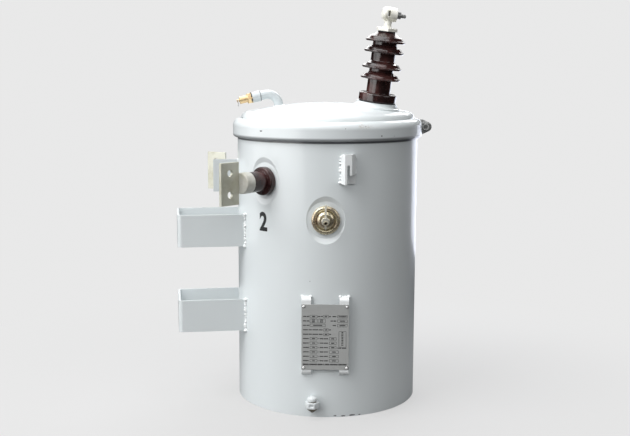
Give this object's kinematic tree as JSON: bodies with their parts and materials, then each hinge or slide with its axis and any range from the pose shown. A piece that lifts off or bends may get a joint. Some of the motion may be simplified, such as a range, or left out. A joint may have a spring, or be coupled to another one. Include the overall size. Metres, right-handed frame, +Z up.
{
  "type": "pole mounted transformer",
  "caption": "Single-phase pole-mounted transformer: round oil tank with clamped domed cover, ribbed bushing, spade terminals, tap changer handle and pole brackets.",
  "frame": {"origin": "middle of the tank's underside, on the floor it stands on", "axes": "+Z up along the tank's axis; the pole brackets stand towards -X; the rating plate and tap changer face roughly -Y"},
  "size_m": [0.5689, 0.4562, 0.8627],
  "materials": {
    "paint": "gloss",
    "porcelain": "gloss",
    "rubber": "matte",
    "tinned": "satin",
    "zinc": "satin",
    "yellow_zinc": "gloss",
    "brass": "satin",
    "plate": "satin",
    "bronze": "satin"
  },
  "bodies": {
    "tank": {"band_bolt": "zinc", "band_lug_front": "paint", "band_lug_rear": "paint", "band_nut": "zinc", "clamp_band": "paint", "cover_gasket": "rubber", "earth_connector": "paint", "earth_tip": "bronze", "hv_cap": "tinned", "hv_cap_gasket": "rubber", "hv_clamp_body": "tinned", "hv_clamp_nut": "zinc", "hv_clamp_stud": "zinc", "hv_clamp_washer": "tinned", "hv_gasket": "rubber", "hv_porcelain": "porcelain", "lifting_lug_front": "paint", "lifting_lug_rear": "paint", "lower_pole_bracket": "paint", "lv_ferrule_front": "tinned", "lv_ferrule_rear": "tinned", "lv_gasket_front": "rubber", "lv_gasket_rear": "rubber", "lv_porcelain_front": "porcelain", "lv_porcelain_rear": "porcelain", "lv_spade_front": "tinned", "lv_spade_rear": "tinned", "plate_clip_bottom_left": "paint", "plate_clip_bottom_right": "paint", "plate_clip_top_left": "paint", "plate_clip_top_right": "paint", "pull_ring": "brass", "rating_plate": "plate", "relief_valve": "brass", "side_plate": "paint", "tank_bottom": "paint", "tank_cover": "paint", "tank_wall": "paint", "tap_bell": "yellow_zinc", "tap_ring": "yellow_zinc", "upper_pole_bracket": "paint", "vent_pipe": "paint", "vent_sleeve": "paint"},
    "tap_handle": {"tap_handle": "yellow_zinc"}
  },
  "joints": [
    {"name": "tap_turn", "type": "hinge", "parent": "tank", "child": "tap_handle", "pos_m": [-0.03291, -0.19251, 0.4215], "axis": [-0.1685, -0.9857, 0], "range_deg": [-60, 60]}
  ]
}
